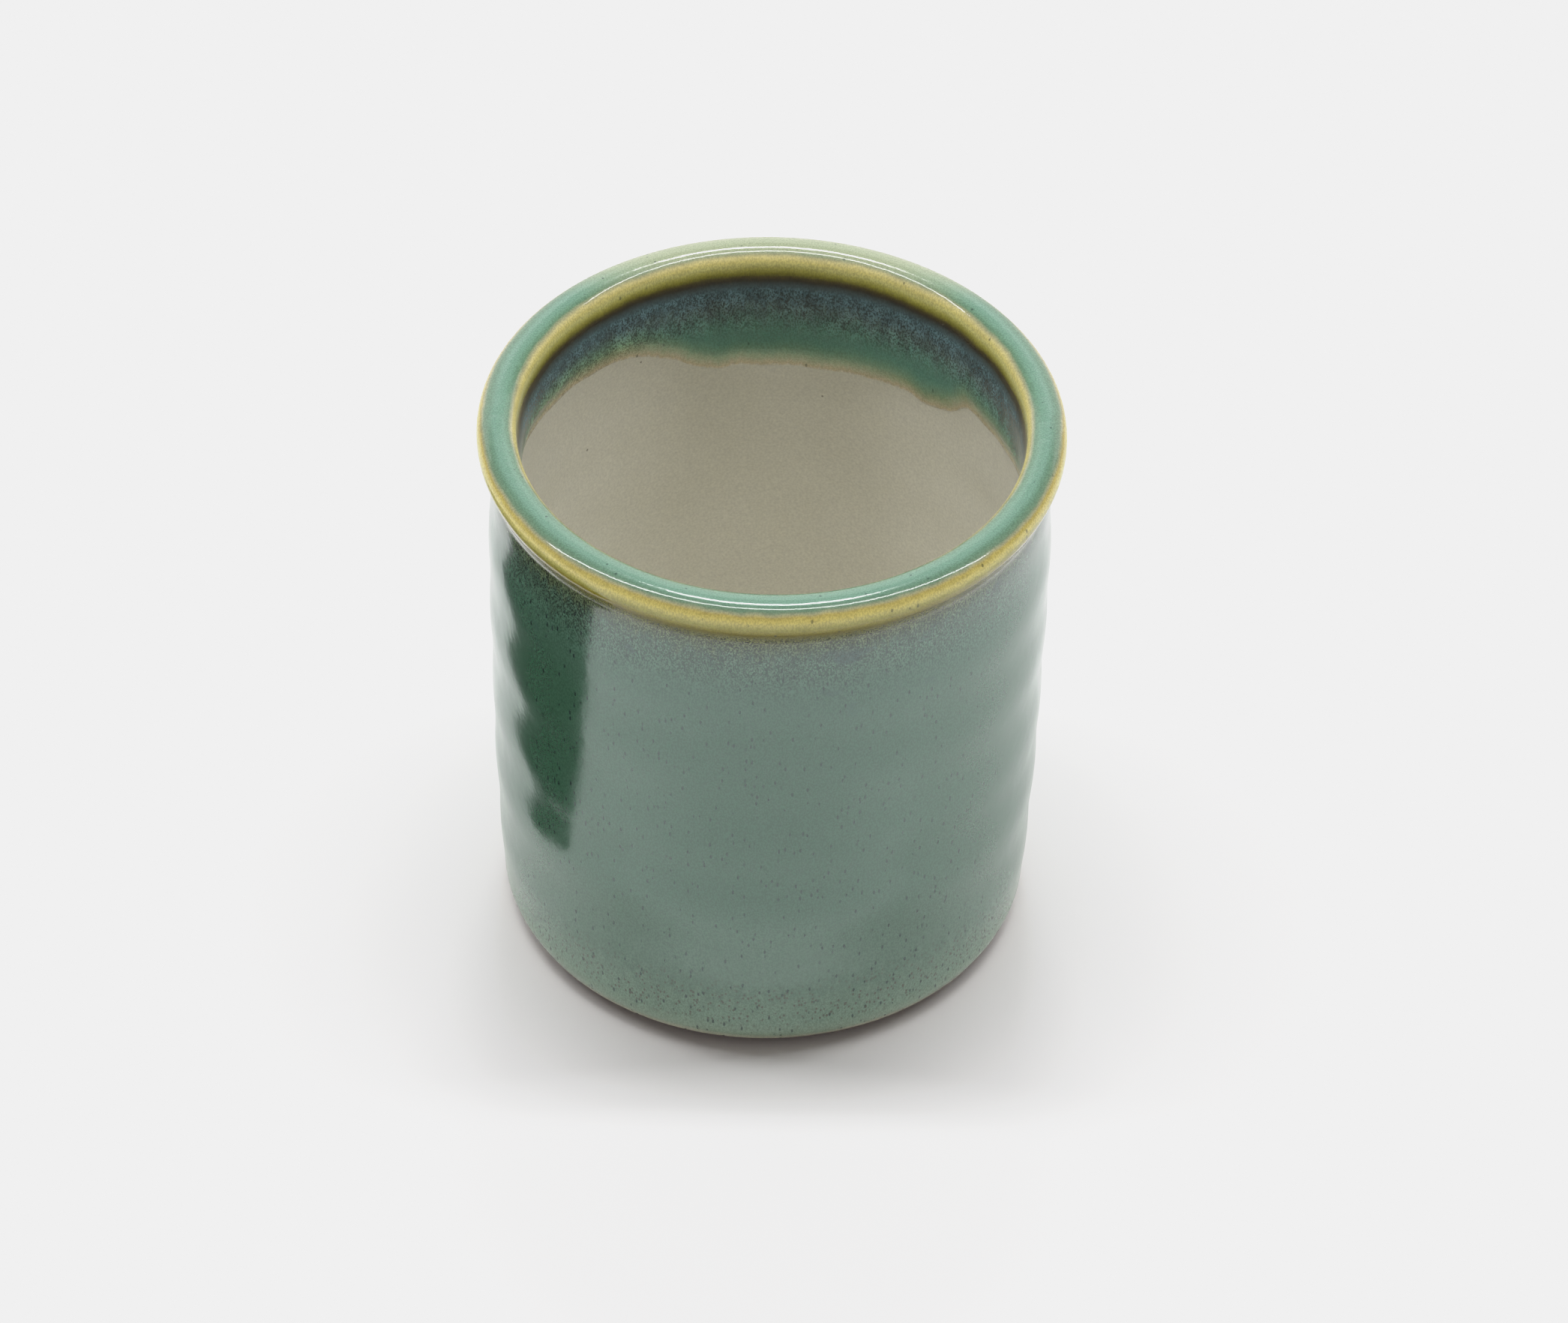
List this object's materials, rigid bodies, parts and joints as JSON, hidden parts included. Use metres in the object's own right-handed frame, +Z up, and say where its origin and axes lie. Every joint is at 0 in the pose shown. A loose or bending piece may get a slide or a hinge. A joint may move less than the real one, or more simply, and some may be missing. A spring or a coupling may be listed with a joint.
{
  "type": "brush holder pot",
  "caption": "Open cylindrical stoneware pot with a thick rounded lip and a turned foot, for standing brushes and pens upright.",
  "frame": {"origin": "centre of the foot ring, on the surface that the pot stands on", "axes": "+Z up along the pot's axis, the front of the pot faces -Y, +X to the right"},
  "size_m": [0.088, 0.088, 0.0936],
  "materials": {
    "brown_stoneware": "unglazed, matt, fired dark brown",
    "green_glaze": "glossy speckled green glaze that breaks to amber and teal on the lip",
    "beige_liner_glaze": "satin grey-beige glaze"
  },
  "bodies": {
    "root": {"stoneware_body": "brown_stoneware", "green_glaze_coat": "green_glaze", "liner_glaze_coat": "beige_liner_glaze"}
  },
  "joints": []
}
